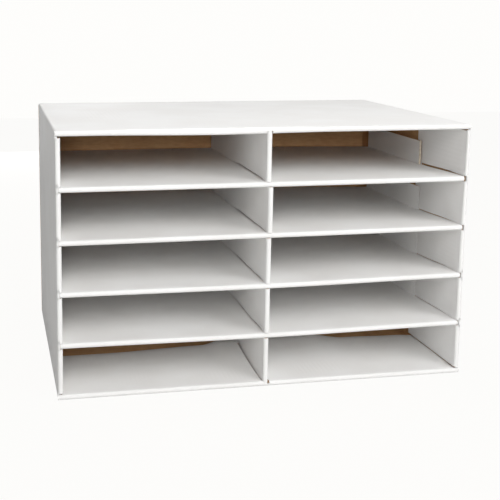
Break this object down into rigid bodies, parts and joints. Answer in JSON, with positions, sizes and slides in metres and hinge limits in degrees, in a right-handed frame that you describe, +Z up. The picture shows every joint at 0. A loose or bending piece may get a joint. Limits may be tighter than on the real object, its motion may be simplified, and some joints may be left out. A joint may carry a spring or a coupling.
{
  "type": "corrugated paper organizer",
  "caption": "Free-standing box of white corrugated board, open at the front, with an upright divider and level shelves that make wide flat slots for large sheets of craft paper.",
  "frame": {"origin": "middle of the underside of the outer box, on the surface that it stands on", "axes": "+X to the right seen from the open front, +Y towards the closed back, +Z up"},
  "size_m": [0.6826, 0.47, 0.4286],
  "materials": {
    "white_board": "matt white liner outside, brown kraft liner inside and at the cut edges"
  },
  "bodies": {
    "shell": {"shell_top_panel": "white_board", "shell_bottom_panel": "white_board", "shell_left_panel": "white_board", "shell_right_panel": "white_board", "top_lining": "white_board", "bottom_lining": "white_board", "left_lining": "white_board", "right_lining": "white_board", "left_back_flap": "white_board", "right_back_flap": "white_board", "top_back_flap": "white_board", "bottom_back_flap": "white_board", "glue_tab": "white_board"},
    "divider": {"divider_left_ply": "white_board", "divider_right_ply": "white_board"},
    "shelf_1": {"shelf_1_upper_ply": "white_board", "shelf_1_lower_ply": "white_board", "shelf_1_left_flange": "white_board", "shelf_1_right_flange": "white_board"},
    "shelf_2": {"shelf_2_upper_ply": "white_board", "shelf_2_lower_ply": "white_board", "shelf_2_left_flange": "white_board", "shelf_2_right_flange": "white_board"},
    "shelf_3": {"shelf_3_upper_ply": "white_board", "shelf_3_lower_ply": "white_board", "shelf_3_left_flange": "white_board", "shelf_3_right_flange": "white_board"},
    "shelf_4": {"shelf_4_upper_ply": "white_board", "shelf_4_lower_ply": "white_board", "shelf_4_left_flange": "white_board", "shelf_4_right_flange": "white_board"}
  },
  "joints": [
    {"name": "divider_slide", "type": "slide", "parent": "shell", "child": "divider", "axis": [0, -1, 0], "range_m": [0, 0.43]},
    {"name": "shelf_1_slide", "type": "slide", "parent": "divider", "child": "shelf_1", "axis": [0, -1, 0], "range_m": [0, 0.43]},
    {"name": "shelf_2_slide", "type": "slide", "parent": "divider", "child": "shelf_2", "axis": [0, -1, 0], "range_m": [0, 0.43]},
    {"name": "shelf_3_slide", "type": "slide", "parent": "divider", "child": "shelf_3", "axis": [0, -1, 0], "range_m": [0, 0.43]},
    {"name": "shelf_4_slide", "type": "slide", "parent": "divider", "child": "shelf_4", "axis": [0, -1, 0], "range_m": [0, 0.43]}
  ]
}
